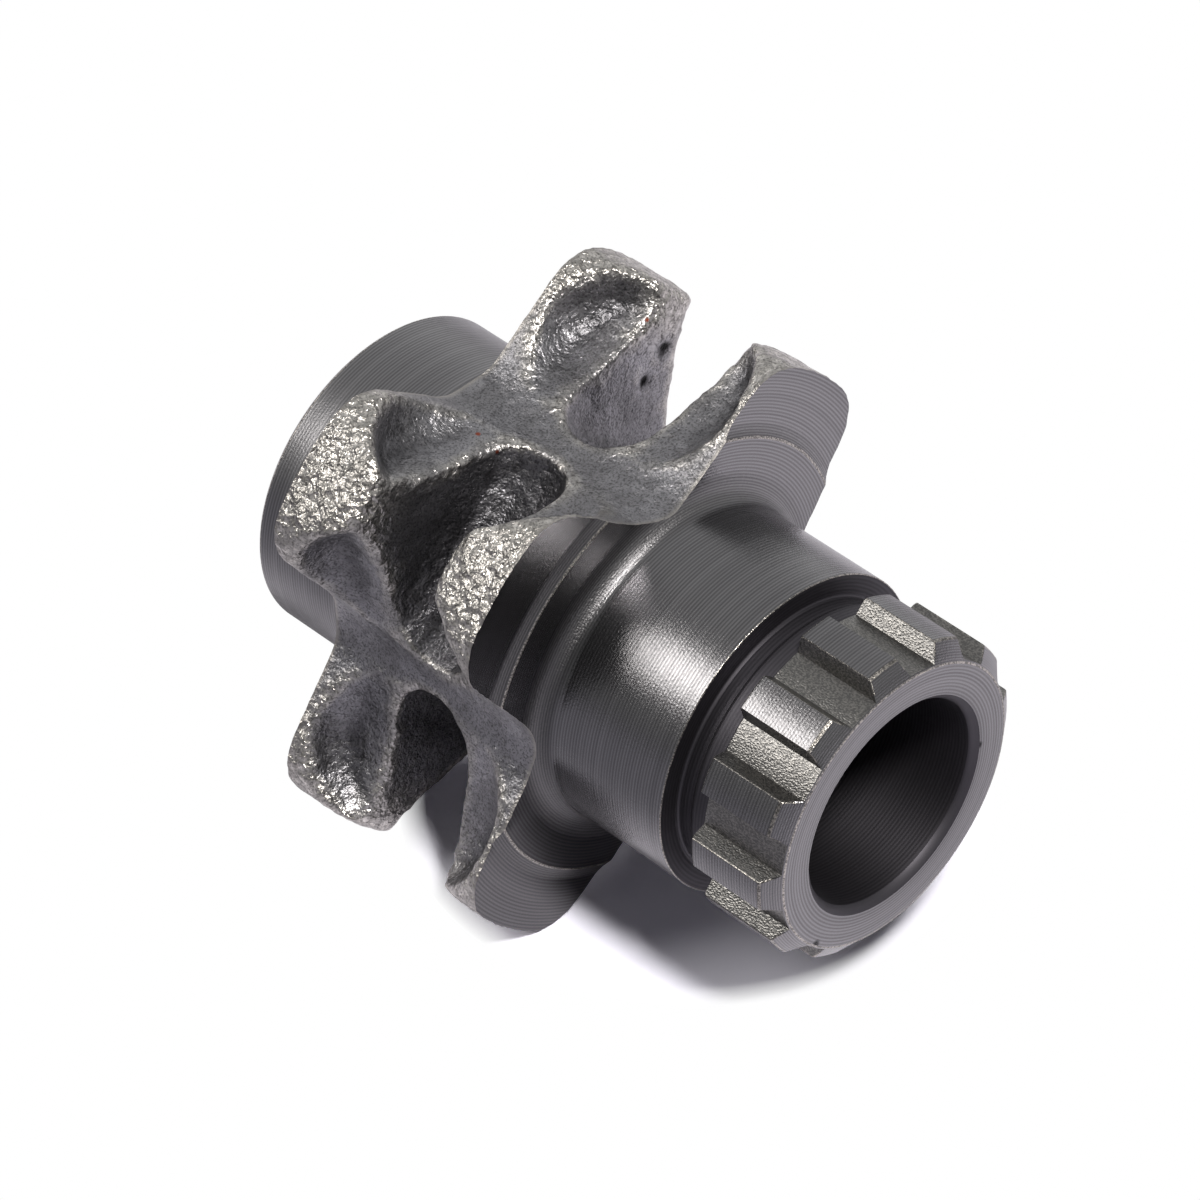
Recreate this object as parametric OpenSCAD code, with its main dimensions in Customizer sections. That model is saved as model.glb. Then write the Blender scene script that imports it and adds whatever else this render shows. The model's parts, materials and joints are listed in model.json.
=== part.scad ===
// Hoist load sheave: a forged steel chain wheel on a turned hollow shaft with an outside spline.
// Millimetres. The shaft lies along Y with the splined end toward -Y. The origin is on the axis,
// half way between the two flanges of the wheel. The part stands on the tips of two lobe pairs.

/* [Hollow shaft] */
// Diameter of the bore right through the shaft
bore_d = 22.5; // [21:0.1:23.5]
// Diameter of the two bearing journals and of the spline over its teeth
journal_d = 35; // [34.4:0.1:35.4]
// Length of the splined end with its relief groove, before the first journal begins
spline_end_len = 14.3; // [13.5:0.1:16]
// Length of the journal between the relief groove and the wheel
near_journal_len = 16; // [12:0.5:24]
// Length of the plain journal on the far side of the wheel
far_journal_len = 12.8; // [9:0.2:20]
// Radius in the corner where each journal meets the wheel
journal_fillet = 2.2; // [1.2:0.1:2.6]
// Chamfer at both mouths of the bore
bore_chamfer = 0.8; // [0.4:0.1:1.4]
// Chamfer on the rim of the plain end
end_chamfer = 0.4; // [0.3:0.1:1.6]

/* [Spline] */
// Number of spline teeth
tooth_count = 12; // [9:1:14]
// Diameter at the root between the teeth
spline_root_d = 31.5; // [31:0.1:32.4]
// Width of a tooth across its land
tooth_land_w = 3.7; // [2.8:0.1:4]
// Width of a tooth at its root
tooth_root_w = 4.8; // [4.2:0.1:5.2]
// Length of the teeth from the end face
tooth_len = 10.2; // [8:0.1:11.5]
// Length of the lead-in chamfer on the front of each tooth
tooth_lead = 1.4; // [0.8:0.1:2.4]
// Depth below the root at which that chamfer starts on the end face
lead_depth = 0.2; // [0.1:0.05:0.4]
// Diameter at the bottom of the relief groove behind the teeth
relief_d = 30.4; // [29.6:0.1:30.8]
// Turn of the spline against the lobes, in degrees
spline_turn = -2.6; // [-14:0.1:14]

/* [Chain wheel] */
// Diameter over the lobe tips
tip_d = 63; // [61:0.2:64]
// Width of the wheel between its outer faces
wheel_w = 27.2; // [26.4:0.2:30]
// Diameter of the raised ring on the turned face next to the first journal
raised_d = 48; // [44:0.5:54]
// Depth by which the turned face steps back outside the raised ring
face_step = 0.6; // [0.4:0.1:1.2]
// Radius of the hollow between two lobes
valley_r = 7.2; // [6.4:0.1:7.8]
// Distance of the bottom of that hollow from the axis
valley_floor = 18.54; // [18.4:0.02:18.9]
// Lean of the lobe flanks, in degrees
lobe_lean = 9; // [6:0.5:11]
// Radius of the lobe corners
lobe_corner_r = 6; // [4:0.2:7]

/* [Link pockets] */
// Width of the pocket for the flat link, along the axis
pocket_w = 24.4; // [22.8:0.1:24.8]
// Distance between the centres of the two round ends of a pocket
pocket_span = 16.8; // [15:0.1:18]
// Distance of the pocket floor from the axis
pocket_floor = 19.3; // [19:0.1:20]
// Radius where the pocket floor rises into its wall
pocket_fillet = 5; // [3.5:0.1:6]
// Radius on which the pocket floor rises toward its two ends
floor_rise_r = 28.5; // [24:0.5:36]
// Distance from the middle of the pocket at which that rise starts
floor_rise_start = 5; // [4:0.1:7]

/* [Slots for the upright links] */
// Radius of the round bottom of a slot, half its width there
slot_round_r = 4.8; // [4:0.1:5]
// Distance of the slot bottom from the axis
slot_floor = 12.95; // [12.9:0.05:14]
// Distance of the upright link centre from the axis
slot_centre = 25.35; // [24.8:0.05:26]
// Half the distance between the two end arcs of a slot
slot_reach = 5.65; // [4.8:0.05:5.8]
// Lean of the slot walls, in degrees
slot_lean = 1.2; // [0.4:0.1:3]
// Radius on the lobe tips beside a slot
slot_tip_r = 2.2; // [1.2:0.1:2.6]

/* [Hidden] */
lobe_count = 4;
lobe_pitch = 360 / lobe_count;
bore_r = bore_d / 2;
journal_r = journal_d / 2;
root_r = spline_root_d / 2;
relief_r = relief_d / 2;
tip_r = tip_d / 2;
raised_r = raised_d / 2;
near_face = -wheel_w / 2;
far_face = wheel_w / 2;
step_face = near_face + face_step;
near_fillet_top = near_face - journal_fillet;
far_fillet_top = far_face + journal_fillet;
shoulder = near_face - near_journal_len;
front = shoulder - spline_end_len;
tooth_back = front + tooth_len;
back = far_face + far_journal_len;
fillet_ring = journal_r + journal_fillet;
// How many flat steps stand for each arc that is swept, turned or cut by one, to keep the mesh light
fillet_steps = 3;
corner_steps = 5;
tip_steps = 3;
valley_steps = 6;
pocket_steps = 5;
rise_steps = 4;
slot_steps = 6;
tip_edge_steps = 3;

// The hollow between two lobes is an arc about a point out on the pocket line.
valley_centre = valley_floor + valley_r;
arc_along = valley_centre * cos(lobe_pitch / 2);
arc_across = valley_centre * sin(lobe_pitch / 2);
// Where that arc runs into the straight flank, along and across the lobe line.
flank_in = arc_along - valley_r * sin(lobe_lean);
flank_in_across = arc_across - valley_r * cos(lobe_lean);
// The corner arc touches the flank inside and the tip circle outside.
flank_offset = flank_in_across * cos(lobe_lean) + flank_in * sin(lobe_lean) - lobe_corner_r;
corner_reach = tip_r - lobe_corner_r;
corner_turn = asin(flank_offset / corner_reach) - lobe_lean;
corner_along = corner_reach * cos(corner_turn);
corner_across = corner_reach * sin(corner_turn);
tip_step = 2 * corner_turn / tip_steps;

pocket_r = pocket_w / 2;
pocket_end = pocket_span / 2;
pocket_flat = pocket_r - pocket_fillet;
pocket_top = tip_r + 2;

// The slot section is a round bottom with leaning walls that touch it.
slot_r = slot_centre - slot_floor;
slot_round_at = slot_r - slot_round_r;
slot_touch = slot_round_at + slot_round_r * sin(slot_lean);
slot_touch_half = slot_round_r * cos(slot_lean);
slot_mid_half = slot_touch_half + tan(slot_lean) * slot_touch;
// Toward the tip circle each wall turns away on a round edge.
slot_edge_at = tip_r - slot_tip_r - slot_centre;
slot_edge_half = slot_mid_half + tan(slot_lean) * slot_edge_at;

// Points on an arc about a centre, in equal steps from one angle to another.
function arc_points(along, across, radius, from, to, steps) = [
    for (step = [0 : steps])
        let (angle = from + (to - from) * step / steps)
            [along + radius * cos(angle), across + radius * sin(angle)]
];

// Turned outline of the whole part, from the bore outward. First number radius, second axis.
module turned_outline() {
    polygon(concat(
        [
            [bore_r, front + bore_chamfer],
            [bore_r + bore_chamfer, front],
            [root_r - lead_depth, front],
            [journal_r, front + tooth_lead],
            [journal_r, tooth_back],
            [relief_r, tooth_back],
            [relief_r, shoulder],
            [journal_r, shoulder]
        ],
        arc_points(fillet_ring, near_fillet_top, journal_fillet, 180, 90, fillet_steps),
        [
            [raised_r, near_face],
            [raised_r, step_face],
            [tip_r + 1, step_face],
            [tip_r + 1, far_face]
        ],
        arc_points(fillet_ring, far_fillet_top, journal_fillet, 270, 180, fillet_steps),
        [
            [journal_r, back - end_chamfer],
            [journal_r - end_chamfer, back],
            [bore_r + bore_chamfer, back],
            [bore_r, back - bore_chamfer]
        ]
    ));
}

module turned_body() {
    rotate_extrude($fn = 96)
        turned_outline();
}

// The outline of one lobe and of the hollow after it, about the lobe line. First number along it.
function lobe_outline() = concat(
    arc_points(corner_along, -corner_across, lobe_corner_r, lobe_lean - 90, -corner_turn, corner_steps),
    arc_points(0, 0, tip_r, tip_step - corner_turn, corner_turn - tip_step, tip_steps - 2),
    arc_points(corner_along, corner_across, lobe_corner_r, corner_turn, 90 - lobe_lean, corner_steps),
    arc_points(arc_along, arc_across, valley_r, 270 - lobe_lean, 90 + lobe_pitch + lobe_lean, valley_steps)
);

// Outline of the whole wheel in plan.
module wheel_plan() {
    polygon([
        for (lobe = [0 : lobe_count - 1])
            let (turn = lobe_pitch * (lobe + 0.5))
                for (point = lobe_outline())
                    [
                        point[0] * cos(turn) - point[1] * sin(turn),
                        point[0] * sin(turn) + point[1] * cos(turn)
                    ]
    ]);
}

// What the forging leaves to be turned, as long as the whole part.
module forged_limits() {
    translate([0, 0, front - 1])
        linear_extrude(back - front + 2)
            wheel_plan();
}

// Half of the section of a flat-link pocket: width across, height out from the axis.
module pocket_section() {
    polygon(concat(
        [[0, pocket_top], [0, pocket_floor]],
        arc_points(pocket_flat, pocket_floor + pocket_fillet, pocket_fillet, 270, 360, pocket_steps),
        [[pocket_r, pocket_top]]
    ));
}

// The floor of a pocket seen along the shaft: flat in the middle, rising on a large radius to each
// end. First number along the pocket, second out from the axis.
module floor_profile() {
    rise_turn = asin((pocket_end + pocket_r + 1 - floor_rise_start) / floor_rise_r);
    level = pocket_floor + floor_rise_r;
    polygon(concat(
        [[-pocket_end - pocket_r - 1, pocket_top]],
        arc_points(-floor_rise_start, level, floor_rise_r, 270 - rise_turn, 270, rise_steps),
        arc_points(floor_rise_start, level, floor_rise_r, 270, 270 + rise_turn, rise_steps),
        [[pocket_end + pocket_r + 1, pocket_top]]
    ));
}

// The pocket's shape before its floor rises: straight in the middle, with two round ends.
module round_ended_pocket() {
    rotate([90, 0, 0])
        linear_extrude(pocket_span, center = true)
            union() {
                pocket_section();
                mirror([1, 0])
                    pocket_section();
            }
    for (side = [0, 180])
        rotate(side)
            translate([0, pocket_end, 0])
                rotate_extrude(angle = 180, $fn = 56)
                    pocket_section();
}

// A pocket for the link that lies flat.
module link_pocket() {
    intersection() {
        round_ended_pocket();
        rotate([90, 0, 90])
            linear_extrude(pocket_w + 2, center = true)
                floor_profile();
    }
}

// Section of a slot inward from the link centre to the round bottom. First number inward.
module slot_section() {
    polygon(concat(
        [[0, -slot_mid_half]],
        arc_points(slot_round_at, 0, slot_round_r, slot_lean - 90, 90 - slot_lean, slot_steps),
        [[0, slot_mid_half]]
    ));
}

// The same section outward to past the tips, with the round edges of the lobe tips beside it.
module slot_mouth() {
    edge_in = slot_edge_half + slot_tip_r;
    top = slot_edge_at + slot_tip_r;
    polygon(concat(
        [[0, -slot_mid_half]],
        [[0, slot_mid_half]],
        arc_points(-slot_edge_at, edge_in, slot_tip_r, 270, 180, tip_edge_steps),
        [[-top - 2, edge_in]],
        [[-top - 2, -edge_in]],
        arc_points(-slot_edge_at, -edge_in, slot_tip_r, 180, 90, tip_edge_steps)
    ));
}

// A slot for the link that stands upright, deep in the middle and rising in an arc at each end.
module link_slot() {
    translate([0, 0, slot_centre]) {
        rotate([90, 0, 0])
            linear_extrude(2 * slot_reach, center = true)
                rotate(-90)
                    union() {
                        slot_section();
                        slot_mouth();
                    }
        for (side = [0, 180])
            rotate(side)
                translate([0, slot_reach, 0])
                    rotate([0, 90, 0])
                        rotate_extrude(angle = 90, $fn = 56)
                            slot_section();
    }
}

// The space between two spline teeth, down to the root circle.
module tooth_gap() {
    pitch = 180 / tooth_count;
    root_half = asin(tooth_root_w / 2 / root_r);
    land_half = asin(tooth_land_w / 2 / journal_r);
    land_across = journal_r * sin(pitch - land_half);
    land_along = journal_r * cos(pitch - land_half);
    root_across = root_r * sin(pitch - root_half);
    root_along = root_r * cos(pitch - root_half);
    lean = (land_across - root_across) / (land_along - root_along);
    over = journal_r + 3;
    difference() {
        polygon([
            [root_along - 2, -root_across + 2 * lean],
            [over, -root_across - (over - root_along) * lean],
            [over, root_across + (over - root_along) * lean],
            [root_along - 2, root_across - 2 * lean]
        ]);
        circle(r = root_r, $fn = 96);
    }
}

module spline_gaps() {
    for (tooth = [0 : tooth_count - 1])
        rotate(spline_turn + 360 / tooth_count * (tooth + 0.5))
            translate([0, 0, front - 1])
                linear_extrude(tooth_len + 2)
                    tooth_gap();
}

module load_sheave() {
    color([0.42, 0.42, 0.43])
        rotate([-90, 0, 0])
            difference() {
                intersection() {
                    turned_body();
                    forged_limits();
                }
                spline_gaps();
                for (lobe = [0 : lobe_count - 1]) {
                    rotate(lobe_pitch * lobe)
                        rotate([0, 90, 0])
                            link_pocket();
                    rotate(lobe_pitch * (lobe + 0.5))
                        rotate([0, 90, 0])
                            link_slot();
                }
            }
}

load_sheave();
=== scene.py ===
# %% [markdown]
# # A hoist load sheave, dressed for its portrait
#
# A load sheave is the wheel in a chain hoist that carries the load chain. It starts as a
# drop-forged steel blank: a hub with four pairs of lobes, flat pockets for the links that lie
# down and deep slots for the links that stand up. A lathe then turns the journals, the faces
# and the bore, and a hob cuts the spline. So the finished part has two very different skins on
# one body, the grainy forged one and the lined turned one, and the lesson is about making that
# line between them.
#
# The solid comes from the CAD model and stays where it is. We load it first and note its box,
# because nothing that we make may be bigger.

# %% Load the CAD part
import json
import math

import bmesh
import bpy
import numpy as np
from mathutils import Matrix, Vector, noise
from mathutils.bvhtree import BVHTree
from mathutils.kdtree import KDTree

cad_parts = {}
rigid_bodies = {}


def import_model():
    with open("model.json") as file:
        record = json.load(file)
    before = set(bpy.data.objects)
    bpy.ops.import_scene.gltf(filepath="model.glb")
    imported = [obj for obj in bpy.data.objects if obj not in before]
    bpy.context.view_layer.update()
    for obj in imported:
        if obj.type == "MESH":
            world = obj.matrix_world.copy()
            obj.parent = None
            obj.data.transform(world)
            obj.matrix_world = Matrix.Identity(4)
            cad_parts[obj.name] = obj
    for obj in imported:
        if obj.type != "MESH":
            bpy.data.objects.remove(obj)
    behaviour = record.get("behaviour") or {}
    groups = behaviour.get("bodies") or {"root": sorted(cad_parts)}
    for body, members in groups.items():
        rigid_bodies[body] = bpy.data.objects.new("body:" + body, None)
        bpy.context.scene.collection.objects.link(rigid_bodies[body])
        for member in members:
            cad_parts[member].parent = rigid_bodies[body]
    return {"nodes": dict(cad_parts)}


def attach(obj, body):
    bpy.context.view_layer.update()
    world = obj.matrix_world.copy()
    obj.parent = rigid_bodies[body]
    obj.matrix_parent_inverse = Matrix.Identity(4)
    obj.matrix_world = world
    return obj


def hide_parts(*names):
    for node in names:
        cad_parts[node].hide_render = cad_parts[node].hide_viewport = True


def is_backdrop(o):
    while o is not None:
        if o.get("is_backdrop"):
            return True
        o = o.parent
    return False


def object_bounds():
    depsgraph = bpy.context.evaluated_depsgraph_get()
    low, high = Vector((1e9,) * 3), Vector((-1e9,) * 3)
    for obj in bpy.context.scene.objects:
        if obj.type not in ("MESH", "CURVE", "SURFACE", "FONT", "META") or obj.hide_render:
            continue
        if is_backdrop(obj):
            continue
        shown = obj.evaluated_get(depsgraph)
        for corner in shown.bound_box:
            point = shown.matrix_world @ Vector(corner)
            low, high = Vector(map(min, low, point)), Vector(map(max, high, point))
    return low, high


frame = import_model()
bpy.context.view_layer.update()
cad_low, cad_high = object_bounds()
sheave_cad = frame["nodes"]["load_sheave"]
print("CAD box in mm:", [round(v * 1000, 2) for v in (*cad_low, *cad_high)])

# %% [markdown]
# Blender's tools use small fixed tolerances that suit objects of a metre. This part is 70 mm
# long and its finest edge breaks are a tenth of a millimetre, so we model in millimetres and
# scale the mesh down once at the end.
#
# The first two helpers carry the shaping: one hands a bmesh over to a scratch object, the other
# runs a modifier on it and brings back the result.

# %% Helpers for the scratch objects
MM = 0.001


def to_object(shape, name):
    """A scratch object from a bmesh."""
    mesh = bpy.data.meshes.new(name)
    shape.to_mesh(mesh)
    shape.free()
    made = bpy.data.objects.new(name, mesh)
    bpy.context.scene.collection.objects.link(made)
    return made


def worked(made, kind, **settings):
    """Runs one modifier on a scratch object and applies it."""
    modifier = made.modifiers.new(kind.lower(), kind)
    for setting, value in settings.items():
        setattr(modifier, setting, value)
    graph = bpy.context.evaluated_depsgraph_get()
    graph.update()
    mesh = bpy.data.meshes.new_from_object(made.evaluated_get(graph), depsgraph=graph)
    made.modifiers.remove(modifier)
    made.data = mesh


def joined(base, other, how):
    """Adds, cuts or intersects two closed scratch objects, and drops the second."""
    worked(base, "BOOLEAN", operation=how, object=other, solver="MANIFOLD")
    bpy.data.objects.remove(other)


def size_of(made):
    """Triangles in a scratch object."""
    made.data.calc_loop_triangles()
    return len(made.data.loop_triangles)


def off_axis(place):
    """How far a place is from the axis of the shaft, which is the y axis."""
    return math.hypot(place.x, place.z)


# %% [markdown]
# The finishes are made further down, but their slots come first. Each face gets its slot while
# the skins are still apart, and the cutting tools hand it on: a face that the lathe leaves is
# turned steel, and a face that the hob leaves is hobbed steel.

# %% Slots for the five finishes
finishes = [
    bpy.data.materials.new(name)
    for name in ("forged_steel", "turned_steel", "hobbed_steel", "bored_steel", "burred_edge")
]
FORGED, TURNED, HOBBED, BORED, BURRED = range(len(finishes))


def finished(made, slot):
    """Gives all faces of a scratch object one of the finishes."""
    made.data.materials.clear()
    for finish in finishes:
        made.data.materials.append(finish)
    made.data.polygons.foreach_set("material_index", [slot] * len(made.data.polygons))


# %% [markdown]
# ## The forged blank
#
# Forging dies have no sharp corners, and shot blasting after the forging rounds what is left.
# The CAD mesh has crisp edges and a few flat steps on each arc. A voxel remesh at 0.38 mm turns
# it into an even skin of small faces, and smoothing that skin rounds every rim by the same
# small radius, which is just what a die and a shot-blasting barrel do. Bevels would be the
# other way, but the pockets and slots cut into each other in curves that a bevel can't follow.
#
# The copy of the CAD mesh is loose triangles, so its doubles are merged first. We keep only the
# middle of the wheel, between the turned faces, and pull its two open ends outward: the lathe
# will cut them back later, and that makes the clean edge between the two skins.

# %% Cut the wheel out of a copy of the CAD mesh
blank_half = 12.6  # half the slab's width, in mm as all lengths until the body is done
blank_over = 4.4  # what each end is longer than that, for the lathe to cut back
merge_near = 0.002

blank = bmesh.new()
blank.from_mesh(sheave_cad.data)
blank.transform(Matrix.Scale(1 / MM, 4))
bmesh.ops.remove_doubles(blank, verts=blank.verts, dist=merge_near)
for side in (-1, 1):
    bmesh.ops.bisect_plane(
        blank,
        geom=blank.verts[:] + blank.edges[:] + blank.faces[:],
        plane_co=(0, side * blank_half, 0),
        plane_no=(0, side, 0),
        clear_outer=True,
    )
print("wheel slab:", len(blank.faces), "faces")

# %% [markdown]
# The slab still has the bore in it. The remesh would make that bore rough, so its wall goes,
# and the two open rims at each end are closed again without it. Extruding the outer rim gives
# the extra length.

# %% Close the slab without its bore
bore_reach = 11.7

bore_wall = [
    face for face in blank.faces if all(off_axis(vert.co) < bore_reach for vert in face.verts)
]
bmesh.ops.delete(blank, geom=bore_wall, context="FACES")
loose_rims = [
    edge
    for edge in blank.edges
    if edge.is_boundary and all(off_axis(vert.co) < bore_reach for vert in edge.verts)
]
bmesh.ops.delete(blank, geom=loose_rims, context="EDGES")
outer_rims = [edge for edge in blank.edges if edge.is_boundary]
pulled = bmesh.ops.extrude_edge_only(blank, edges=outer_rims)["geom"]
for vert in pulled:
    if isinstance(vert, bmesh.types.BMVert):
        vert.co.y += math.copysign(blank_over, vert.co.y)
bmesh.ops.holes_fill(blank, edges=[edge for edge in blank.edges if edge.is_boundary])
bmesh.ops.triangulate(blank, faces=blank.faces)
bmesh.ops.recalc_face_normals(blank, faces=blank.faces)
open_edges = sum(1 for edge in blank.edges if not edge.is_manifold)
print("closed slab:", len(blank.faces), "faces,", open_edges, "open edges")
wheel = to_object(blank, "wheel")

# %% Remesh it
voxel = 0.38
worked(wheel, "REMESH", mode="VOXEL", voxel_size=voxel, adaptivity=0)
print("remeshed:", size_of(wheel), "triangles")

# %% [markdown]
# Smoothing comes in three passes. The whole skin gets a few steps, enough to turn each rim into
# a radius of about half a millimetre. The tips of the lobes, where the two dies met and the
# flash was trimmed, are rounder, so the skin far from the axis gets more steps, and the very
# ends of the tips get most.

# %% Round the rims and the tips
tips_from = 25.5
ends_from = 28.0
tips_half = 12.4


def rounded(shape, verts, steps):
    """Smooths some vertices of a bmesh that many times."""
    for _ in range(steps):
        bmesh.ops.smooth_vert(shape, verts=verts, factor=0.5, use_axis_x=True,
                              use_axis_y=True, use_axis_z=True)


skin = bmesh.new()
skin.from_mesh(wheel.data)
rounded(skin, skin.verts, steps=7)
tips = [
    vert for vert in skin.verts if off_axis(vert.co) > tips_from and abs(vert.co.y) < tips_half
]
rounded(skin, tips, steps=10)
ends = [vert for vert in tips if off_axis(vert.co) > ends_from]
rounded(skin, ends, steps=22)
print("smoothed:", len(skin.verts), "vertices, of which", len(tips), "at the tips")

# %% [markdown]
# Forging scale and die wear leave the skin slightly wavy, and the blasting leaves small dents
# in it. Both are moves of the skin along its own normal. The waves are 1 to 3 mm long and a
# tenth of a millimetre high. Their mean lies 0.13 mm under the skin, which keeps the part
# inside its CAD box.

# %% Waves and dents of the forging
mean_depth = 0.13
# The skin gets rougher from the first of these radii to the second.
shot_from, shot_full = 21.0, 27.0
# Two deeper pits on the wall of one slot, where scale was pressed in: place and width in mm.
pressed_pits = [((19.0, 5.1, 16.7), 0.9), ((16.1, 5.05, 14.3), 0.7)]
pit_depth = 0.4


def relief(place):
    """How far the skin lies below the die's own surface there, in mm."""
    reach = min(max((off_axis(place) - shot_from) / (shot_full - shot_from), 0), 1)
    broad = noise.noise(place * 0.34)
    dents = noise.noise(place * 0.75 + Vector((7, 3, 5)))
    pits = noise.noise(place * 1.25 + Vector((1, 9, 4)))
    deep = sum(
        pit_depth * math.exp(-((place - Vector(spot)).length / wide) ** 2)
        for spot, wide in pressed_pits
    )
    return mean_depth + 0.08 * broad + 0.05 * dents + (0.05 + 0.06 * reach) * pits + deep


skin.normal_update()
moves = [(vert, vert.normal * -relief(vert.co)) for vert in skin.verts]
for vert, move in moves:
    vert.co += move
skin.normal_update()
skin.to_mesh(wheel.data)
skin.free()
finished(wheel, FORGED)
print("relief moved", len(moves), "vertices")

# %% [markdown]
# Blasting brightens what stands proud and leaves the hollows dull, and the finish paints shade
# into the creases, so it needs to know which is which. The skin compared with a much smoother
# copy of itself tells: where it lies outside the smooth copy, it is a rim. The result waits here
# until the body is cut.

# %% Find the rims of the forging
def table(items, field, width, kind=float):
    """One field of a mesh's vertices or edges, as the rows of a table."""
    values = np.empty(len(items) * width, dtype=kind)
    items.foreach_get(field, values)
    return values.reshape(-1, width)


def search_tree(places, chosen):
    """A tree that finds the nearest of the chosen points."""
    tree = KDTree(len(chosen))
    for index in chosen:
        tree.insert(places[index], int(index))
    tree.balance()
    return tree


def loosened(places, links, steps):
    """The same points after that many steps of plain smoothing along the edges."""
    count = np.bincount(links.ravel(), minlength=len(places))[:, None]
    for _ in range(steps):
        pull = np.zeros_like(places)
        np.add.at(pull, links[:, 0], places[links[:, 1]])
        np.add.at(pull, links[:, 1], places[links[:, 0]])
        places = places * 0.4 + pull / count * 0.6
    return places


skin_at = table(wheel.data.vertices, "co", 3)
skin_out = table(wheel.data.vertices, "normal", 3)
soft_at = loosened(skin_at, table(wheel.data.edges, "vertices", 2, np.int64), 30)
proud = ((skin_at - soft_at) * skin_out).sum(axis=1)
skin_tree = search_tree(skin_at, range(len(skin_at)))
print("proud of the smooth copy, mm:", np.percentile(proud, (2, 25, 50, 75, 98)).round(3))

# %% [markdown]
# ## What the lathe leaves
#
# Everything turned is one profile spun round the axis: the bore, the splined end with its relief
# groove, the journal and its corner radius, the raised ring and the step on the wheel's face,
# and the same again in short on the far side. In reality the lathe takes metal off the blank.
# Here the spun shape is the space that the lathe leaves, and an intersection does the cutting.
#
# Each corner of the profile has its own small radius, given beside it, because a turned edge is
# never a knife edge: it shows as a thin bright line.

# %% Profile of the turned shape
# radius, place along the axis, corner radius, steps on that corner (all mm)
profile = [
    (11.25, -43.10, 0.25, 2),
    (12.05, -43.90, 0.22, 2),
    (15.55, -43.90, 0.12, 2),
    (17.50, -42.50, 0.20, 2),
    (17.50, -33.70, 0.18, 2),
    (15.45, -33.70, 0.30, 3),
    (15.45, -31.55, 0.50, 3),
    (15.05, -31.30, 0.15, 2),
    (15.05, -29.60, 0.35, 3),
    (17.50, -29.60, 0.10, 2),
    (17.50, -13.60, 2.20, 8),
    (24.00, -13.60, 0.15, 2),
    (24.80, -13.00, 0.80, 3),
    (32.50, -13.00, 0.00, 0),
    (32.50, 13.60, 0.00, 0),
    (17.50, 13.60, 2.20, 8),
    (17.50, 26.00, 0.12, 2),
    (17.10, 26.40, 0.12, 2),
    (12.05, 26.40, 0.12, 2),
    (11.25, 25.60, 0.12, 2),
]


def spun(points, start, steps):
    """A closed lathe shape from a profile, with its first edge at the start angle."""
    shape = bmesh.new()
    ring = [shape.verts.new((radius, along, 0)) for radius, along, *_ in points]
    shape.faces.new(ring)
    for vert, (_, _, corner, cuts) in zip(ring, points):
        if corner:
            bmesh.ops.bevel(shape, geom=[vert], offset=corner, offset_type="OFFSET",
                            segments=cuts, profile=0.5, affect="VERTICES", material=-1)
    bmesh.ops.delete(shape, geom=shape.faces[:], context="FACES_ONLY")
    bmesh.ops.rotate(shape, verts=shape.verts, cent=(0, 0, 0),
                     matrix=Matrix.Rotation(start, 3, "Y"))
    bmesh.ops.spin(shape, geom=shape.verts[:] + shape.edges[:], cent=(0, 0, 0),
                   axis=(0, 1, 0), angle=math.tau, steps=steps, use_merge=True)
    bmesh.ops.remove_doubles(shape, verts=shape.verts, dist=0.001)
    bmesh.ops.recalc_face_normals(shape, faces=shape.faces)
    return shape


# The teeth sit at 30 degree steps, and the lathe's own edges fall between their corners.
tooth_count = 12
tooth_turn = math.radians(-2.6)
lathe_steps = 240
first_edge = math.tau / lathe_steps / 2 - tooth_turn
turned = to_object(spun(profile, first_edge, lathe_steps), "turned")
finished(turned, TURNED)
print("turned shape:", size_of(turned), "triangles")

# %% [markdown]
# Inside the bore the faces get the bored finish. The small corner radii get the burred one,
# because that is where the tool breaks out.

# %% Finishes of the bore and the corners
bore_wide = 12.0
break_most = 0.2
break_reach = 0.13

edge_breaks = [(radius, along) for radius, along, corner, _ in profile if 0 < corner <= break_most]
for face in turned.data.polygons:
    radius, along = off_axis(face.center), face.center.y
    if radius < bore_wide:
        face.material_index = BORED
    if any(math.hypot(radius - r, along - a) < break_reach for r, a in edge_breaks):
        face.material_index = BURRED
print("corners with a broken edge:", len(edge_breaks))

# %% [markdown]
# ## The spline
#
# A hob cuts the spaces between the teeth, not the teeth. So a cutter is one space: a wedge as
# wide as the gap, with the root cylinder taken out of it, repeated twelve times round the axis.

# %% Slope of the flanks
journal_r = 17.5
root_r = 15.75
land_width = 3.7
foot_width = 4.8
land_half = math.asin(land_width / 2 / journal_r)
root_half = math.asin(foot_width / 2 / root_r)
pitch_half = math.pi / tooth_count
across_top = journal_r * math.sin(pitch_half - land_half)
along_top = journal_r * math.cos(pitch_half - land_half)
across_root = root_r * math.sin(pitch_half - root_half)
along_root = root_r * math.cos(pitch_half - root_half)
lean = (across_top - across_root) / (along_top - along_root)
print("half of a space, at the root and the top:", round(across_root, 2), round(across_top, 2))

# %% Cut the spaces between the teeth
cut_front = -46.0
cut_length = 13.6
cut_low, cut_high = 14.2, 20.0
root_ends = (-48.0, -30.0)

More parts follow.
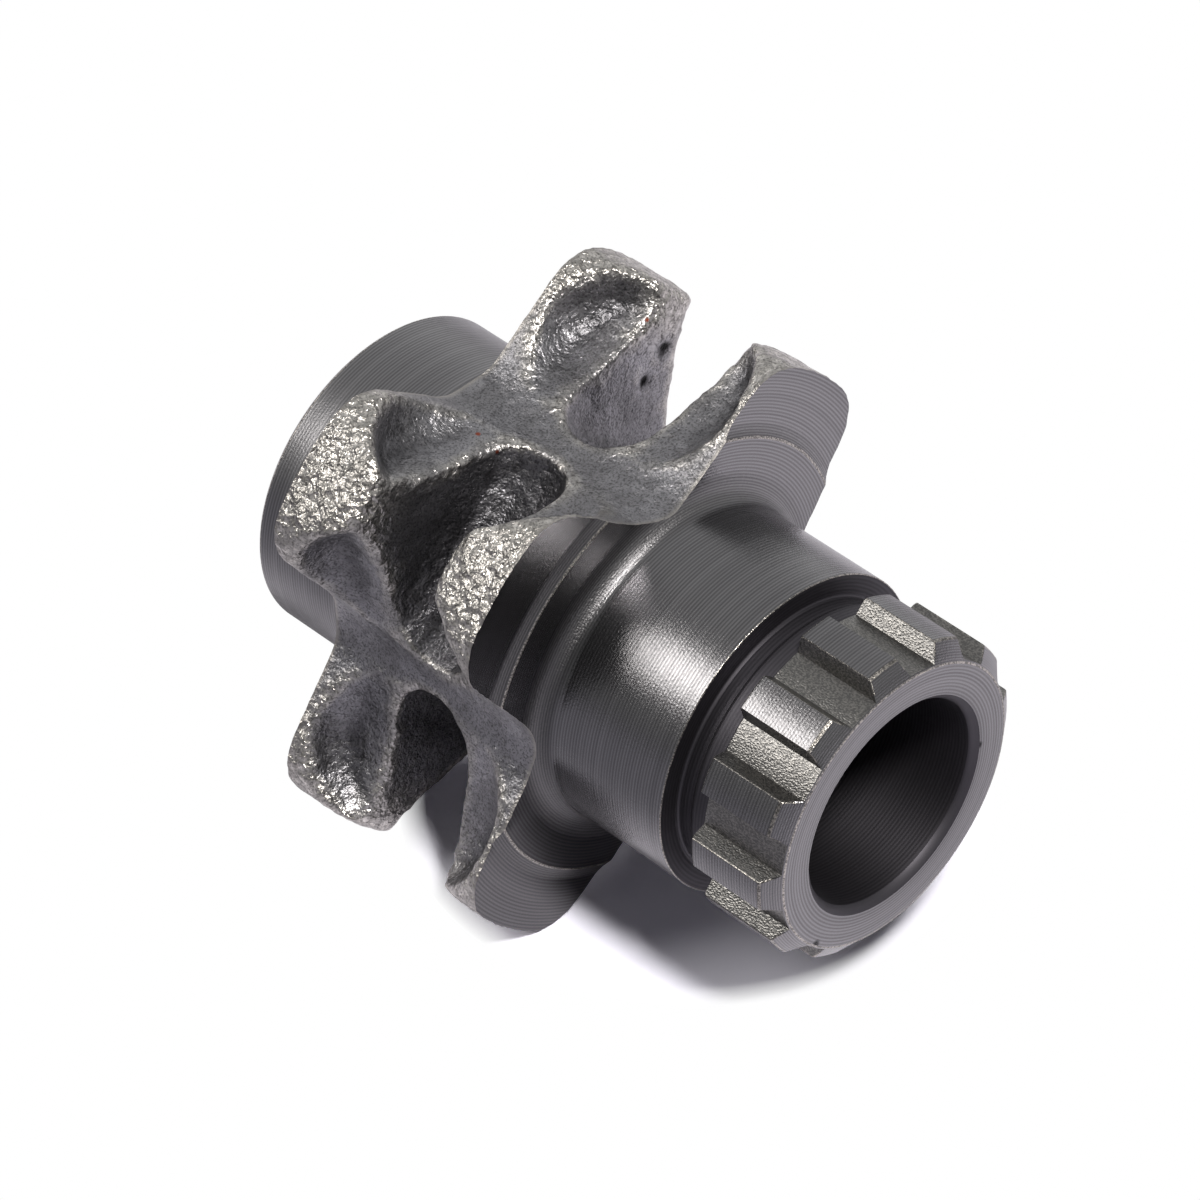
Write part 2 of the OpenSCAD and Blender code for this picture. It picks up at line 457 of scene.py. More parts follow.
gap = bmesh.new()
corners = [
    (sign * (across_root + (along - along_root) * lean), along)
    for sign, along in ((-1, cut_low), (1, cut_low), (1, cut_high), (-1, cut_high))
]
mouth = gap.faces.new([gap.verts.new((x, cut_front, z)) for x, z in corners])
depth = bmesh.ops.extrude_face_region(gap, geom=[mouth])["geom"]
bmesh.ops.translate(gap, vec=(0, cut_length, 0),
                    verts=[item for item in depth if isinstance(item, bmesh.types.BMVert)])
spaces = bmesh.new()
for tooth in range(tooth_count):
    one = gap.copy()
    turn = Matrix.Rotation(tooth_turn + math.tau / tooth_count * (tooth + 0.5), 4, "Y")
    one.transform(turn)
    scratch = bpy.data.meshes.new("space")
    one.to_mesh(scratch)
    spaces.from_mesh(scratch)
    one.free()
    bpy.data.meshes.remove(scratch)
gap.free()
bmesh.ops.recalc_face_normals(spaces, faces=spaces.faces)
hob = to_object(spaces, "hob")
root_profile = [
    (radius, along, 0, 0)
    for radius, along in ((0, root_ends[0]), (root_r, root_ends[0]),
                          (root_r, root_ends[1]), (0, root_ends[1]))
]
root = to_object(spun(root_profile, 0, lathe_steps), "root")
finished(hob, HOBBED)
finished(root, HOBBED)
joined(hob, root, "DIFFERENCE")
joined(turned, hob, "DIFFERENCE")
print("with the spline:", size_of(turned), "triangles")

# %% [markdown]
# The edges of the teeth are broken by deburring, about a tenth of a millimetre. The bevel only
# takes the edges of the splined end that turn by more than 25 degrees.

# %% Break the edges of the teeth
teeth_until = -33.4
teeth_from_r = 15.85
sharp_from = math.radians(25)
flat_below = math.radians(0.4)
break_width = 0.12

teeth = bmesh.new()
teeth.from_mesh(turned.data)
bmesh.ops.remove_doubles(teeth, verts=teeth.verts, dist=0.003)
bmesh.ops.dissolve_limit(teeth, angle_limit=flat_below, verts=teeth.verts, edges=teeth.edges)
tooth_edges = [
    edge
    for edge in teeth.edges
    if edge.is_manifold
    and edge.calc_face_angle() > sharp_from
    and all(v.co.y < teeth_until and off_axis(v.co) > teeth_from_r for v in edge.verts)
]
broken = bmesh.ops.bevel(teeth, geom=tooth_edges, offset=break_width, offset_type="OFFSET",
                         segments=2, profile=0.5, affect="EDGES", material=-1,
                         clamp_overlap=False)
for face in broken["faces"]:
    face.material_index = BURRED
bmesh.ops.triangulate(teeth, faces=teeth.faces)
bmesh.ops.recalc_face_normals(teeth, faces=teeth.faces)
open_edges = sum(1 for edge in teeth.edges if not edge.is_manifold)
print("edges broken:", len(tooth_edges), "and", open_edges, "open")
teeth.to_mesh(turned.data)
teeth.free()

# %% [markdown]
# ## One body from the two
#
# The forged wheel still lacks its shaft, so a plain bar is added to it first, thicker than the
# journals and thin where the slots are deep. Then the turned shape cuts the whole. Both
# operands are closed, so the quick manifold solver does.

# %% Add the bar and turn the blank
bar_profile = [
    (0, -47, 0, 0), (17.9, -47, 0, 0), (17.9, -6.4, 0, 0), (12.3, -6.4, 0, 0),
    (12.3, 6.4, 0, 0), (17.9, 6.4, 0, 0), (17.9, 30, 0, 0), (0, 30, 0, 0),
]
bar_start, bar_steps = 0.002, 120  # the small turn keeps the bar's edges off the lathe's
bar = to_object(spun(bar_profile, bar_start, bar_steps), "bar")
finished(bar, TURNED)
joined(wheel, bar, "UNION")
joined(wheel, turned, "INTERSECT")
wheel.name = "sheave_body"
wheel.data.name = "sheave_body"
print("one body:", size_of(wheel), "triangles")

# %% [markdown]
# The hob runs out into the relief groove behind the teeth, so the cut left its slot on parts of
# that groove. A narrow tool makes the groove and hardly any light gets in, so all of it gets the
# dark bored finish, whose dark grey is painted shade.

# %% Finish of the relief groove
groove_ends = (-33.6, -29.4)
groove_wide = 17.4

body = wheel.data
in_groove = [
    face
    for face in body.polygons
    if groove_ends[0] < face.center.y < groove_ends[1] and off_axis(face.center) < groove_wide
]
for face in in_groove:
    face.material_index = BORED
print("faces in the relief groove:", len(in_groove))

# %% [markdown]
# Two marks on the points of the body steer the forged finish. "rim" is high where the skin
# stands proud. "brink" is high within a few tenths of a millimetre of a machined edge, where
# the tool has torn the grain and left a thin bright line of burr.

# %% Mark rims and brinks on the body
brink_reach = 0.35

body_at = table(body.vertices, "co", 3)
rim = np.zeros(len(body_at))
on_forged = np.zeros(len(body_at), dtype=bool)
on_machined = np.zeros(len(body_at), dtype=bool)
for face in body.polygons:
    if face.material_index == FORGED:
        on_forged[list(face.vertices)] = True
    else:
        on_machined[list(face.vertices)] = True
for index in np.flatnonzero(on_forged):
    rim[index] = proud[skin_tree.find(body_at[index])[1]]
brink_points = np.flatnonzero(on_forged & on_machined)
brink_tree = search_tree(body_at, brink_points)
brink = np.array([
    math.exp(-((brink_tree.find(place)[2] / brink_reach) ** 2)) for place in body_at
])
print("points on the brink:", len(brink_points))

# %% [markdown]
# The third mark is how open a point lies. Shot can't reach far into a slot or a pocket, so the
# dark scale stays there, and the finish also paints shade into those recesses by it. From each
# point of the forged skin a fan of rays goes out, and the share that gets away is how open it is.

# %% Mark how open the forged skin lies
ray_lift = 0.1
ray_length = 22.0
lifts = (0.2, 0.5, 0.8)
spokes = 8

fan = []
for ring, lift in enumerate(lifts):
    for spoke in range(spokes):
        turn = math.tau * (spoke + ring / len(lifts)) / spokes
        flat = math.sqrt(1 - lift * lift)
        fan.append((flat * math.cos(turn), flat * math.sin(turn), lift))
walls = BVHTree.FromPolygons([tuple(place) for place in body_at],
                             [tuple(face.vertices) for face in body.polygons])
openness = np.ones(len(body_at))
for index in np.flatnonzero(on_forged):
    out = body.vertices[index].normal
    side = out.orthogonal().normalized()
    other = out.cross(side)
    foot = Vector(body_at[index]) + out * ray_lift
    clear = sum(
        walls.ray_cast(foot, side * a + other * b + out * c, ray_length)[0] is None
        for a, b, c in fan
    )
    openness[index] = clear / len(fan)
body_links = table(body.edges, "vertices", 2, np.int64)
openness = loosened(openness[:, None], body_links, 6)[:, 0]
print("openness of the forged skin:", np.percentile(openness[on_forged], (5, 50, 95)).round(2))

# %% Keep the three marks on the mesh
rim_full = 0.30
marks = {"rim": np.clip(rim / rim_full, -1, 1), "brink": brink, "open": openness}
for name, values in marks.items():
    body.attributes.new(name, "FLOAT", "POINT").data.foreach_set("value", values)
print("marks:", list(marks))

# %% [markdown]
# Back to metres, and on to the CAD body that it stands for. The forged skin is shaded smooth.
# On machined faces an edge stays sharp from 14 degrees, so that a broken edge shows as a narrow
# bright facet, and where the two skins meet it is always sharp.

# %% Scale it down and let it stand for the CAD node
facet_from = math.radians(14)

body.transform(Matrix.Scale(MM, 4))
body.polygons.foreach_set("use_smooth", [True] * len(body.polygons))
crisp = bmesh.new()
crisp.from_mesh(body)
for edge in crisp.edges:
    skins = {face.material_index for face in edge.link_faces}
    if skins != {FORGED}:
        edge.smooth = FORGED not in skins and edge.calc_face_angle() < facet_from
crisp.to_mesh(body)
crisp.free()
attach(wheel, "root")
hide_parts("load_sheave")
by_finish = np.bincount([face.material_index for face in body.polygons],
                        minlength=len(finishes))
print("faces by finish:", dict(zip([finish.name for finish in finishes], by_finish.tolist())))

# %% [markdown]
# ## Finishes
#
# Colours are written as sRGB hex values, as a paint program shows them, and one function turns
# them to the linear values that a shader works with. A second function adds a node with its
# settings and its links, so each finish below reads as a short list. The patterns are scaled in
# millimetres: a texture of scale 4 has grains of a quarter of a millimetre.

# %% Colour and node helpers
TIMES = {"operation": "MULTIPLY"}
LARGER = {"operation": "MAXIMUM"}
COLOURS = {"data_type": "RGBA"}


def linear(colour, level=1.0):
    """Linear red, green, blue and alpha from a hex colour."""
    parts = [int(colour[i:i + 2], 16) / 255 for i in (1, 3, 5)]
    return [
        level * (part / 12.92 if part <= 0.04045 else ((part + 0.055) / 1.055) ** 2.4)
        for part in parts
    ] + [1]


def node(tree, kind, settings=None, **inputs):
    """Adds a node. An input is a value, an output to link, or a node, whose first output in use
    is linked. It goes by its name, or by number: in6 and in7 are the two colours of a Mix."""
    made = tree.nodes.new("ShaderNode" + kind)
    for setting, value in (settings or {}).items():
        setattr(made, setting, value)
    for name, value in inputs.items():
        socket = made.inputs[int(name[2:]) if name.startswith("in") else name.replace("_", " ")]
        if isinstance(value, bpy.types.Node):
            value = next(output for output in value.outputs if output.enabled)
        if isinstance(value, bpy.types.NodeSocket):
            tree.links.new(value, socket)
        else:
            socket.default_value = value
    return made


def begun(finish):
    """The cleared node tree of a finish, and the place on the part in millimetres."""
    finish.use_nodes = True
    tree = finish.node_tree
    tree.nodes.clear()
    place = node(tree, "TexCoord").outputs["Object"]
    return tree, node(tree, "VectorMath", {"operation": "SCALE"}, in0=place, Scale=1 / MM)


def near(tree, place, spots):
    """How near a place is to the nearest of some spots: 1 on a spot, 0 outside its radius."""
    most = None
    for spot, reach in spots:
        away = node(tree, "VectorMath", {"operation": "DISTANCE"}, in0=place, in1=spot)
        mark = node(tree, "MapRange", Value=away, From_Min=0.45 * reach, From_Max=reach,
                    To_Min=1.0, To_Max=0.0)
        most = mark if most is None else node(tree, "Math", LARGER, in0=most, in1=mark)
    return most


# %% [markdown]
# ### Forged steel, shot blasted
#
# The blank comes out of the furnace with a grey scale, and blasting with steel shot knocks most
# of it off and leaves a grain of tiny craters, 0.2 to 0.6 mm across. The eye sees a mid-grey
# metal that glitters, because each crater throws the light its own way. It is coarse and bright
# on the rims and the lobe tips, which the shot hits hardest, and fine and dull in the hollows.
#
# So the first cell works out where the skin is coarse: on the open parts of the tips, and in
# patches along the rims.

# %% Where the forging is coarse
tree, place = begun(finishes[FORGED])
rim_mark = node(tree, "Attribute", {"attribute_name": "rim"}).outputs["Fac"]
brink_mark = node(tree, "Attribute", {"attribute_name": "brink"}).outputs["Fac"]
open_mark = node(tree, "Attribute", {"attribute_name": "open"}).outputs["Fac"]
radius = node(tree, "VectorMath", TIMES, in0=place, in1=(1, 0, 1))
radius = node(tree, "VectorMath", {"operation": "LENGTH"}, in0=radius)
outer = node(tree, "MapRange", Value=radius, From_Min=23.5, From_Max=27.5)
bared = node(tree, "MapRange", Value=open_mark, From_Min=0.6, From_Max=0.85)
tip = node(tree, "Math", TIMES, in0=outer, in1=bared)
patches = node(tree, "TexNoise", Vector=place, Scale=0.22, Detail=2.0)
patchy = node(tree, "MapRange", Value=patches, From_Min=0.40, From_Max=0.58, To_Min=0.25,
              To_Max=0.8)
high = node(tree, "MapRange", Value=rim_mark, From_Min=0.05, From_Max=0.5)
worn = node(tree, "Math", TIMES, in0=high, in1=patchy)
coarse = node(tree, "Math", LARGER, in0=tip, in1=worn)
print("coarse skin:", len(tree.nodes), "nodes")

# %% [markdown]
# The craters are the distance to the nearest of many scattered points, bent a little by a noise.
# Real ones are too fine to show at this size, so they are drawn coarser: the largest 1 mm
# across, on top of them dents of half a millimetre and a grit of a quarter.

# %% Craters, dents and grit
bend = node(tree, "TexNoise", Vector=place, Scale=1.1, Detail=2.0).outputs["Color"]
bent = node(tree, "VectorMath", {"operation": "ADD"}, in0=place, in1=bend)
craters = node(tree, "TexVoronoi", {"feature": "F1"}, Vector=bent, Scale=1.0)
dents = node(tree, "TexVoronoi", {"feature": "F1"}, Vector=bent, Scale=2.1)
grit = node(tree, "TexNoise", Vector=place, Scale=4.0, Detail=2.0, Roughness=0.6)
swell = node(tree, "TexNoise", Vector=place, Scale=0.8, Detail=2.0)
crater_push = node(tree, "MapRange", Value=coarse, To_Min=0.15, To_Max=1.0)
dent_push = node(tree, "MapRange", Value=coarse, To_Min=0.5, To_Max=1.0)
grit_push = node(tree, "MapRange", Value=coarse, To_Min=1.0, To_Max=0.45)
bump = node(tree, "Bump", Height=swell, Distance=0.20 * MM, Strength=1.0)
bump = node(tree, "Bump", Height=craters, Distance=0.32 * MM, Strength=crater_push, Normal=bump)
bump = node(tree, "Bump", Height=dents, Distance=0.10 * MM, Strength=dent_push, Normal=bump)
bump = node(tree, "Bump", Height=grit, Distance=0.08 * MM, Strength=grit_push, Normal=bump)
print("with its relief:", len(tree.nodes), "nodes")

# %% [markdown]
# The colour is built in layers. First grey scale, darker in the hollows and creases, which is
# partly the dark scale left there and partly painted shade. Then bare steel where the skin is
# coarse, with bright crater rims that are partly grain and partly painted glint, dark pits, and a
# light line of burr on the brink.

# %% Colour of the scale and the bare steel
scale_tone = node(tree, "MapRange", Value=patches, From_Min=0.38, From_Max=0.62)
shade = node(tree, "Mix", COLOURS, in0=scale_tone, in6=linear("#878689"), in7=linear("#98979b"))
# Painted shade: hollows and concave creases are darkened toward #323134, partly as dark scale left
# there.
scale_and_painted_shade = node(tree, "MapRange", Value=open_mark, From_Min=0.22, From_Max=0.62, To_Min=1.0,
              To_Max=0.0)
crease_painted_shade = node(tree, "MapRange", Value=rim_mark, From_Min=-0.8, From_Max=-0.15, To_Min=0.65,
              To_Max=0.0)
scale_and_painted_shade = node(tree, "Math", LARGER, in0=scale_and_painted_shade, in1=crease_painted_shade)
shade = node(tree, "Mix", COLOURS, in0=scale_and_painted_shade, in6=shade, in7=linear("#323134"))
bare = node(tree, "MapRange", Value=coarse, To_Min=0.0, To_Max=0.85)
shade = node(tree, "Mix", COLOURS, in0=bare, in6=shade, in7=linear("#cbc7c1"))
# Partly grain and partly painted glint: crater centres are brightened and their edges darkened,
# most on the coarse skin.
grain_and_painted_glint = node(tree, "MapRange", Value=craters, From_Min=0.15, From_Max=0.65, To_Min=1.35,
             To_Max=0.78)
painted_glint_share = node(tree, "MapRange", Value=coarse, To_Min=0.25, To_Max=1.0)
grain_and_painted_glint = node(tree, "Mix", {"data_type": "FLOAT"}, in0=painted_glint_share, in2=1.0, in3=grain_and_painted_glint)
pits = node(tree, "MapRange", Value=grit, From_Min=0.36, From_Max=0.52, To_Min=0.52, To_Max=1.12)
tone = node(tree, "Math", TIMES, in0=grain_and_painted_glint, in1=pits)
shade = node(tree, "Mix", {"data_type": "RGBA", "blend_type": "MULTIPLY"}, in0=1.0, in6=shade,
             in7=tone)
shade = node(tree, "Mix", COLOURS, in0=brink_mark, in6=shade, in7=linear("#aaa6a2"))
print("with its colour:", len(tree.nodes), "nodes")

# %% [markdown]
# Last come the single faults: the scale is black in the two pressed pits, and three tiny dots of
# rust sit on the skin. The bend of the craters also bends the outline of the pits.

# %% Pits, rust and gloss of the forging
uneven = node(tree, "VectorMath", {"operation": "SUBTRACT"}, in0=bent, in1=(0.5, 0.5, 0.5))
black = near(tree, uneven, [(spot, 1.3 * wide) for spot, wide in pressed_pits])
shade = node(tree, "Mix", COLOURS, in0=black, in6=shade, in7=linear("#141315"))
rust = near(tree, place, [((-4.96, 7.19, 19.22), 0.34), ((-5.07, 4.47, 18.61), 0.26),
                          ((16.89, 5.55, 21.55), 0.28)])
shade = node(tree, "Mix", COLOURS, in0=rust, in6=shade, in7=linear("#9a5240"))
gloss = node(tree, "MapRange", Value=coarse, To_Min=0.38, To_Max=0.32)
steel = node(tree, "BsdfPrincipled", Metallic=1.0, Base_Color=shade, Roughness=gloss,
             Normal=bump)
node(tree, "OutputMaterial", Surface=steel)
print("forged steel:", len(tree.nodes), "nodes")

# %% [markdown]
# ### Turned steel
#
# A lathe tool leaves one fine groove that winds round the part. Along a journal the grooves lie
# a third of a millimetre apart, and on a face they are rings. Both come from one pattern that
# only knows the radius and the place along the axis: on a journal the radius stays the same and
# the pattern runs along, on a face the other way round. The steel is darker than the forging
# because the smooth surface mirrors the dim room.

# %% The grooves of a tool
def grooves(tree, place, pitch, wander=0.004):
    """Height of tool marks with that pitch in mm, and the radius that they go by."""
    radius = node(tree, "VectorMath", TIMES, in0=place, in1=(1, 0, 1))
    radius = node(tree, "VectorMath", {"operation": "LENGTH"}, in0=radius)
    along = node(tree, "SeparateXYZ", Vector=place).outputs["Y"]
    drift = node(tree, "VectorMath", {"operation": "SCALE"}, in0=place, Scale=wander)
    marks = node(tree, "CombineXYZ", X=radius, Y=along)
    marks = node(tree, "VectorMath", {"operation": "ADD"}, in0=marks, in1=drift)
    uneven = node(tree, "TexNoise", Vector=marks, Scale=0.5 / pitch, Detail=3.0, Roughness=0.7)
    turns = node(tree, "VectorMath", {"operation": "SCALE"}, in0=marks, Scale=math.tau / pitch)
    turns = node(tree, "SeparateXYZ", Vector=turns).outputs
    wave = node(tree, "Math", {"operation": "ADD"}, in0=turns["X"], in1=turns["Y"])
    wave = node(tree, "Math", {"operation": "SINE"}, in0=wave)
    even = node(tree, "MapRange", Value=wave, From_Min=-1.0, To_Min=0.35, To_Max=0.65)
    return node(tree, "Mix", {"data_type": "FLOAT"}, in0=0.7, in2=uneven, in3=even), radius


# %% [markdown]
# The tool leaves the corner radii and the raised ring rougher than the straight runs, and the
# wheel's faces are duller than the journals. The far journal is less sharp a mirror than the
# near one, as if it had been brushed with abrasive cloth after turning.

# %% Where the turned steel is rough
tree, place = begun(finishes[TURNED])
marks, radius = grooves(tree, place, 0.36)
parts = node(tree, "SeparateXYZ", Vector=place).outputs
corner_in = node(tree, "MapRange", Value=radius, From_Min=17.55, From_Max=17.9)
corner_out = node(tree, "MapRange", Value=radius, From_Min=19.6, From_Max=20.4, To_Min=1.0,
                  To_Max=0.0)
corner = node(tree, "Math", TIMES, in0=corner_in, in1=corner_out)
ring_in = node(tree, "MapRange", Value=radius, From_Min=23.9, From_Max=24.1)
ring_out = node(tree, "MapRange", Value=radius, From_Min=25.2, From_Max=25.5, To_Min=1.0,
                To_Max=0.0)
ring = node(tree, "Math", TIMES, in0=ring_in, in1=ring_out)
rough = node(tree, "Math", LARGER, in0=corner, in1=ring)
brushed = node(tree, "MapRange", Value=parts["Y"], From_Min=11.0, From_Max=13.0, To_Max=0.4)
dulled = node(tree, "Math", LARGER, in0=rough, in1=brushed)
gloss = node(tree, "MapRange", Value=dulled, To_Min=0.27, To_Max=0.45)
print("rough places:", len(tree.nodes), "nodes")

# %% [markdown]
# Painted shade darkens the wheel's faces, more toward one side of the wheel, and two nicks in the
# end face are drawn as black spots.

# %% Turned steel
grain = node(tree, "TexNoise", Vector=place, Scale=4.0, Detail=3.0)
grain_push = node(tree, "MapRange", Value=rough, To_Min=0.38, To_Max=1.0)
bump = node(tree, "Bump", Height=marks, Distance=0.014 * MM, Strength=1.0)
bump = node(tree, "Bump", Height=grain, Distance=0.07 * MM, Strength=grain_push, Normal=bump)
tone = node(tree, "MapRange", Value=marks, From_Min=0.38, From_Max=0.62)
shade = node(tree, "Mix", COLOURS, in0=tone, in6=linear("#6b6a6c"), in7=linear("#8e8d8f"))
# Painted shade: the turned faces are darkened toward #1f1e20, most toward the -x side.
on_faces = node(tree, "MapRange", Value=radius, From_Min=17.52, From_Max=17.7)
shaded_side = node(tree, "MapRange", Value=parts["X"], From_Min=-10.0, From_Max=8.0, To_Min=0.4,
                To_Max=0.0)
painted_face_shade = node(tree, "Math", TIMES, in0=on_faces, in1=shaded_side)
shade = node(tree, "Mix", COLOURS, in0=painted_face_shade, in6=shade, in7=linear("#1f1e20"))
# The two nicks are drawn as black spots on the end face.
nicks = near(tree, place, [((11.9, -43.85, -0.2), 0.6), ((-10.9, -43.9, -10.9), 0.7)])
shade = node(tree, "Mix", COLOURS, in0=nicks, in6=shade, in7=linear("#1c1b1e"))
steel = node(tree, "BsdfPrincipled", Metallic=1.0, Base_Color=shade, Roughness=gloss,
             Normal=bump)
node(tree, "OutputMaterial", Surface=steel)
print("turned steel:", len(tree.nodes), "nodes")

# %% [markdown]
# ### Hobbed and bored steel
#
# The hob tears the flanks and roots of the spline a little, so they glitter warmly, with grains
# of about a seventh of a millimetre. The bore is drilled and hardly catches any light, and its
# dark grey is painted shade.

# %% Hobbed steel
tree, place = begun(finishes[HOBBED])
torn = node(tree, "VectorMath", TIMES, in0=place, in1=(1, 0.6, 1))
grain = node(tree, "TexNoise", Vector=torn, Scale=6.8, Detail=0.0)
bump = node(tree, "Bump", Height=grain, Distance=0.04 * MM, Strength=1.0)
tone = node(tree, "MapRange", Value=grain, From_Min=0.38, From_Max=0.66)
shade = node(tree, "Mix", COLOURS, in0=tone, in6=linear("#6f6e6d"), in7=linear("#908e8b"))
steel = node(tree, "BsdfPrincipled", Metallic=1.0, Base_Color=shade, Roughness=0.32, Normal=bump)
node(tree, "OutputMaterial", Surface=steel)
print("hobbed steel:", len(tree.nodes), "nodes")

# %% Bored steel
tree, place = begun(finishes[BORED])
marks, _ = grooves(tree, place, 0.4, wander=0.01)
bump = node(tree, "Bump", Height=marks, Distance=0.03 * MM, Strength=1.0)
tone = node(tree, "MapRange", Value=marks, From_Min=0.35, From_Max=0.66)
# Painted shade: the dark grey of the bore and the relief groove.
shade = node(tree, "Mix", COLOURS, in0=tone, in6=linear("#444247"), in7=linear("#565459"))
steel = node(tree, "BsdfPrincipled", Metallic=1.0, Base_Color=shade, Roughness=0.52, Normal=bump)
node(tree, "OutputMaterial", Surface=steel)
print("bored steel:", len(tree.nodes), "nodes")

# %% [markdown]
# Where two cuts meet, the tool pushes up a burr that deburring breaks to a thin torn facet. It
# is bare and bright. Its real grain is finer than a tenth of a millimetre and wouldn't show, so
# it is drawn at a fifth.

# %% Burred edges
tree, place = begun(finishes[BURRED])
grain = node(tree, "TexNoise", Vector=place, Scale=5.0, Detail=2.0)
bump = node(tree, "Bump", Height=grain, Distance=0.06 * MM, Strength=1.0)
tone = node(tree, "MapRange", Value=grain, From_Min=0.42, From_Max=0.60)
shade = node(tree, "Mix", COLOURS, in0=tone, in6=linear("#6a6866"), in7=linear("#b9b4ae"))
steel = node(tree, "BsdfPrincipled", Metallic=1.0, Base_Color=shade, Roughness=0.34, Normal=bump)
node(tree, "OutputMaterial", Surface=steel)
print("burred edge:", len(tree.nodes), "nodes")

# %% [markdown]
# ## The studio
#
# The part lies on a white sheet. For the camera alone the sheet is half as bright again as white,
# so that it comes out pure white and keeps the dark part of the shadow, and outside a circle
# round that shadow it glows plain white. What the steel mirrors is the sheet too, with painted
# shade on its left part that makes it dimmer there.

# %% White floor
shadow_at = (0.008, -0.010, cad_low.z)
shadow_full, shadow_gone = 0.0275, 0.0304
painted_shade_full, painted_shade_gone = -0.045, -0.012

floor_shape = bmesh.new()
bmesh.ops.create_grid(floor_shape, x_segments=1, y_segments=1, size=4)
bmesh.ops.translate(floor_shape, verts=floor_shape.verts, vec=(0, 0, cad_low.z))
floor = to_object(floor_shape, "floor")
sheet = bpy.data.materials.new("white_sheet")
sheet.use_nodes = True
tree = sheet.node_tree
tree.nodes.clear()
light_path = node(tree, "LightPath").outputs
spot = node(tree, "TexCoord").outputs["Object"]
leftward = node(tree, "SeparateXYZ", Vector=spot).outputs["X"]
# Painted shade in the sheet's mirrored colour, darker toward the left.
painted_shade_left = node(tree, "MapRange", Value=leftward, From_Min=painted_shade_full, From_Max=painted_shade_gone, To_Min=1.0,
            To_Max=0.0)
mirrored = node(tree, "Mix", COLOURS, in0=painted_shade_left, in6=linear("#f6f4ff", 1.1),
                in7=linear("#f0f0ff", 0.4))
seen = node(tree, "Mix", COLOURS, in0=light_path["Is Glossy Ray"], in6=linear("#f2f2f4"),
            in7=mirrored)
seen = node(tree, "Mix", COLOURS, in0=light_path["Is Camera Ray"], in6=seen,
            in7=linear("#f2f2ff", 1.5))
matt = node(tree, "BsdfDiffuse", Color=seen)
away = node(tree, "VectorMath", {"operation": "DISTANCE"}, in0=spot, in1=shadow_at)
outside = node(tree, "MapRange", Value=away, From_Min=shadow_full, From_Max=shadow_gone)
outside = node(tree, "Math", TIMES, in0=outside, in1=light_path["Is Camera Ray"])
glow = node(tree, "Emission", Color=linear("#ffffff"), Strength=1.0)
cut_out = node(tree, "MixShader", in0=outside, in1=matt, in2=glow)
node(tree, "OutputMaterial", Surface=cut_out)
floor.data.materials.append(sheet)
floor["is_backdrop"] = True
print("floor at z in mm:", round(cad_low.z / MM, 2))

# %% [markdown]
# The room gives almost no light of its own. The camera sees it white past the sheet. The steel
# mirrors a grey room that is lighter low down, on the far side and to the right, because a
# mirror of one even grey would show no form.

# %% Room
least_light = 0.03

room = bpy.data.worlds.new("room")
bpy.context.scene.world = room
room.use_nodes = True
tree = room.node_tree
tree.nodes.clear()
light_path = node(tree, "LightPath").outputs
way = node(tree, "TexCoord").outputs["Generated"]
parts = node(tree, "SeparateXYZ", Vector=way).outputs
upward = node(tree, "MapRange", Value=parts["Z"], From_Min=0.1, From_Max=0.7, To_Min=0.9,
              To_Max=0.5)
behind = node(tree, "MapRange", Value=parts["Y"], From_Min=-0.5, From_Max=0.4, To_Min=0.5)
beside = node(tree, "MapRange", Value=parts["X"], From_Min=-0.8, From_Max=0.1, To_Min=0.3)
mirrored = node(tree, "Math", TIMES, in0=upward, in1=behind)
mirrored = node(tree, "Math", TIMES, in0=mirrored, in1=beside)
mirrored = node(tree, "Math", TIMES, in0=mirrored, in1=light_path["Is Glossy Ray"])
level = node(tree, "Math", LARGER, in0=mirrored, in1=light_path["Is Camera Ray"])
level = node(tree, "Math", LARGER, in0=level, in1=least_light)
air = node(tree, "Background", Color=(1, 1, 1, 1), Strength=level)
node(tree, "OutputWorld", Surface=air)
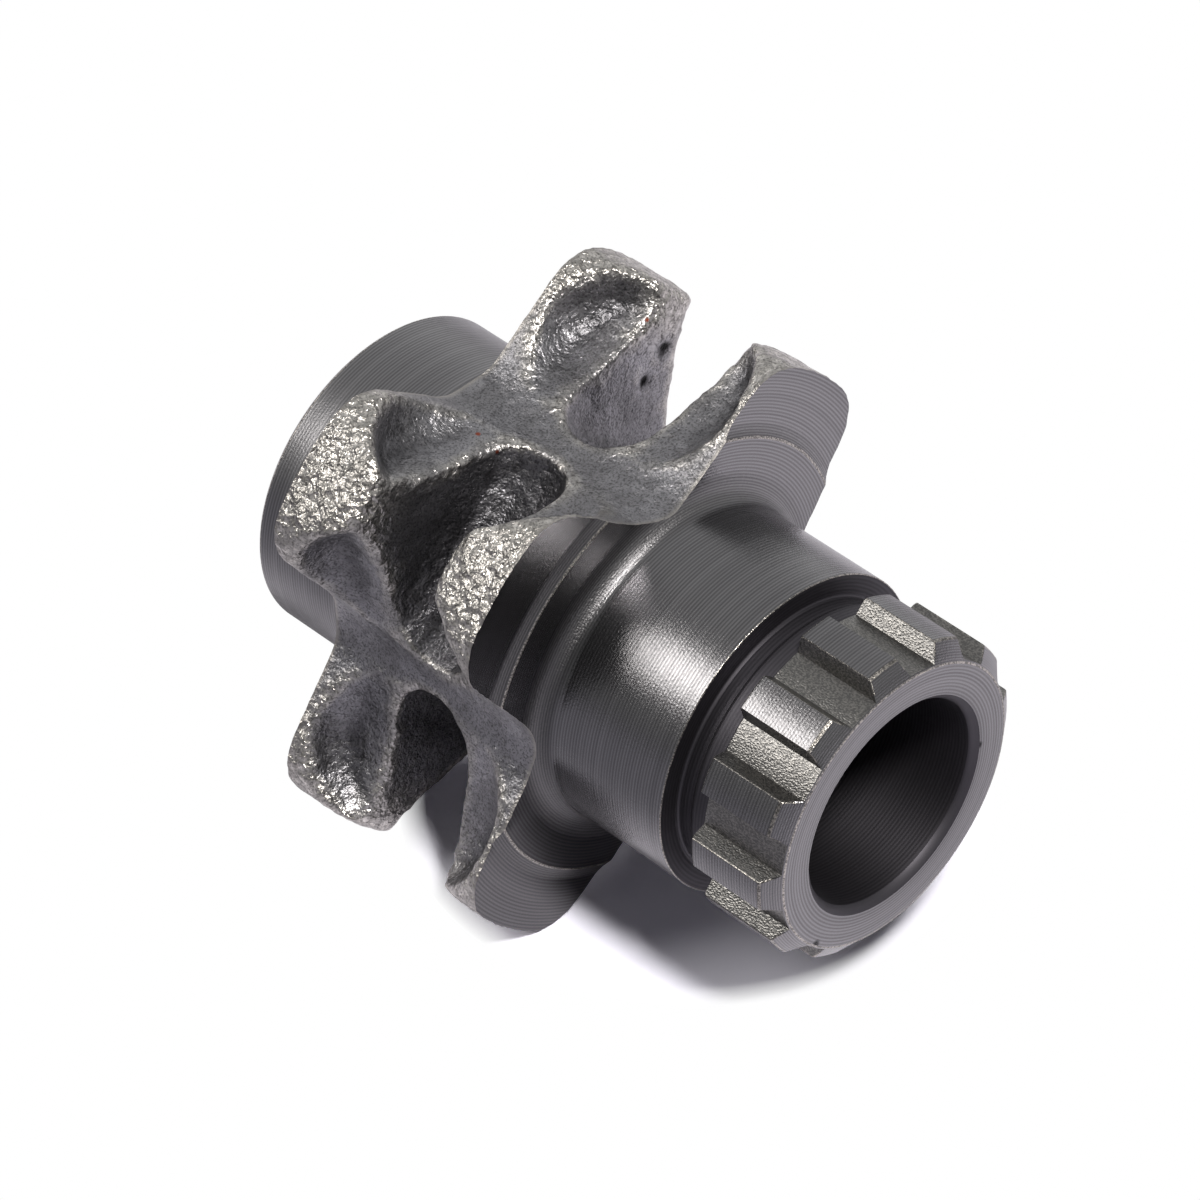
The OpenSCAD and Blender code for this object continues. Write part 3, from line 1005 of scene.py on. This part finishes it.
print("room:", len(tree.nodes), "nodes")

# %% [markdown]
# Two soft lamps light the part: one above, toward the splined end, which throws the shadow, and
# one low on the left, which is the bright band on the journals and the glitter on the lobe tips.

# %% Lamps
def lamp(name, toward, away, size, radiance):
    """A square soft lamp in that direction from the part, aimed at it."""
    data = bpy.data.lights.new(name, "AREA")
    data.shape = "SQUARE"
    data.size = size
    data.energy = radiance * math.pi * size * size
    data.color = (1.0, 0.97, 0.93)
    made = bpy.data.objects.new(name, data)
    bpy.context.scene.collection.objects.link(made)
    back = Vector(toward).normalized()
    made.location = back * away
    made.rotation_mode = "QUATERNION"
    made.rotation_quaternion = back.to_track_quat("Z", "Y")
    print(name, "power in W:", round(data.energy, 2))


lamp("top_lamp", toward=(-0.18, -0.48, 0.86), away=0.9, size=0.13, radiance=145.0)
lamp("left_lamp", toward=(-0.57, 0.52, 0.64), away=0.9, size=0.34, radiance=7.0)

# %% [markdown]
# ## The camera
#
# The camera was fitted to the turned circles of the part in the photograph. It is a long lens
# from a little over half a metre, 42 degrees above the floor, and it looks at the part from the
# splined end.

# %% Camera
across = Vector((0.70153, -0.71262, -0.00583))
down = Vector((-0.48192, -0.46835, -0.74056))
ahead = Vector((0.52501, 0.52232, -0.67198))
end_face = Vector((0, -0.0439, 0))
end_face_seen = across * 0.02815 + down * 0.01964 + ahead * 0.5795

camera_data = bpy.data.cameras.new("camera")
camera_data.sensor_width = 36
camera_data.lens = 182.426
camera_data.clip_start = 0.05
camera_data.clip_end = 20
camera = bpy.data.objects.new("camera", camera_data)
bpy.context.scene.collection.objects.link(camera)
pose = Matrix((across, -down, -ahead)).transposed().to_4x4()
pose.translation = end_face - end_face_seen
camera.matrix_world = pose
bpy.context.scene.camera = camera
bpy.context.scene.view_settings.view_transform = "Standard"
print("camera at, in mm:", [round(value / MM) for value in pose.translation])

# %% Note both boxes and finish
bpy.context.view_layer.update()
low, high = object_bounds()
print("seen box in mm:", [round(v * 1000, 2) for v in (*low, *high)])
